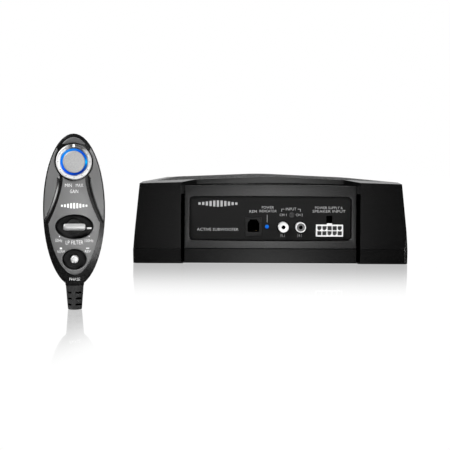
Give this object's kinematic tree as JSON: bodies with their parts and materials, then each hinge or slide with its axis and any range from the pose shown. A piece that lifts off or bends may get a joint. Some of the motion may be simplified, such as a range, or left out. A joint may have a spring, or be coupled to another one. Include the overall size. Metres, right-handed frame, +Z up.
{
  "type": "powered car subwoofer",
  "caption": "Low black under-seat amplified subwoofer with a recessed connector panel, a perforated steel roof grille and an oval wired level control.",
  "frame": {"origin": "centre of the cabinet's flat underside, on the surface it stands on", "axes": "+Z up, -Y towards the connector side, +X to the right when facing the connectors"},
  "size_m": [0.2515, 0.5596, 0.0969],
  "materials": {
    "cabinet_black": "satin moulded black plastic",
    "panel_gray": "satin dark gray plastic",
    "plate_black": "fine textured black plastic",
    "grille_steel": "powder-coated perforated steel",
    "black_rubber": "matt",
    "black_plastic": "glossy",
    "white_plastic": "satin white",
    "gray_plastic": "satin gray",
    "nickel": "bright nickel",
    "gold_contact": "gold-plated contact",
    "zinc_screw": "dark zinc",
    "brass": "turned brass",
    "circuit_board": "green solder mask",
    "aluminium": "extruded",
    "capacitor_sleeve": "shrunk sleeve",
    "copper": "enamelled copper",
    "ferrite": "sintered",
    "cone_paper": "coated paper",
    "spider_cloth": "resin-treated cotton",
    "remote_black": "glossy black",
    "remote_gray": "metallic gray paint",
    "silver": "satin silver",
    "cap_gray": "bead-blasted",
    "blue_light": "lit translucent ring"
  },
  "bodies": {
    "cabinet": {"base_tray": "cabinet_black", "upper_shell": "cabinet_black", "seam_gasket": "black_rubber", "top_cover": "cabinet_black", "grille_mesh": "grille_steel", "connector_panel": "panel_gray", "rear_panel": "panel_gray", "terminal_plate": "plate_black", "base_screws": "zinc_screw", "bracket_inserts": "brass", "modular_jack": "black_plastic", "jack_contacts": "gold_contact", "power_led": "blue_light", "rca_left_shell": "nickel", "rca_left_insert": "white_plastic", "rca_right_shell": "nickel", "rca_right_insert": "gray_plastic", "ground_screw": "zinc_screw", "power_header": "white_plastic", "header_pins": "nickel", "terminal_board": "circuit_board", "amp_board": "circuit_board", "heat_spreader": "aluminium", "power_transistors": "black_plastic", "capacitors": "capacitor_sleeve", "choke_coil": "copper", "partition": "plate_black", "basket": "cabinet_black", "magnet": "ferrite", "yoke": "zinc_screw", "top_plate": "zinc_screw", "driver_gasket": "black_rubber", "driver_screws": "zinc_screw"},
    "cone_assembly": {"voice_coil": "copper", "spider": "spider_cloth", "cone": "cone_paper", "dust_cap": "cone_paper", "surround": "black_rubber"},
    "remote_case": {"remote_rear_shell": "remote_black", "remote_front_shell": "remote_black", "face_panel": "remote_gray", "wing_left": "remote_gray", "wing_right": "remote_gray", "top_crescent": "remote_gray", "filter_dish": "remote_black", "phase_dish": "remote_black", "remote_board": "circuit_board", "gain_pot": "aluminium", "filter_pot": "aluminium", "phase_switch": "black_plastic", "remote_screws": "zinc_screw", "strain_relief": "black_rubber"},
    "gain_knob": {"gain_shaft": "nickel", "knob_ring": "silver", "light_ring": "blue_light", "knob_cap": "cap_gray"},
    "filter_dial": {"filter_knob": "silver"},
    "phase_key": {"phase_button": "silver"}
  },
  "joints": [
    {"name": "cone_travel", "type": "slide", "parent": "cabinet", "child": "cone_assembly", "axis": [0, 0, 1], "range_m": [-0.006, 0.006], "stiffness_N_per_m": 2500, "deforming": ["surround", "spider"]},
    {"name": "remote_lift", "type": "slide", "parent": "cabinet", "child": "remote_case", "axis": [0, 0, 1], "range_m": [0, 0.2]},
    {"name": "gain_turn", "type": "hinge", "parent": "remote_case", "child": "gain_knob", "pos_m": [-0.11945, -0.3933, 0.0815], "axis": [0.1736, -0.9848, 0], "range_deg": [-135, 135]},
    {"name": "filter_turn", "type": "hinge", "parent": "remote_case", "child": "filter_dial", "pos_m": [-0.11945, -0.3933, 0.0462], "axis": [0.1736, -0.9848, 0], "range_deg": [-215, 35]},
    {"name": "phase_press", "type": "slide", "parent": "remote_case", "child": "phase_key", "axis": [-0.1736, 0.9848, 0], "range_m": [0, 0.0015], "stiffness_N_per_m": 400}
  ]
}
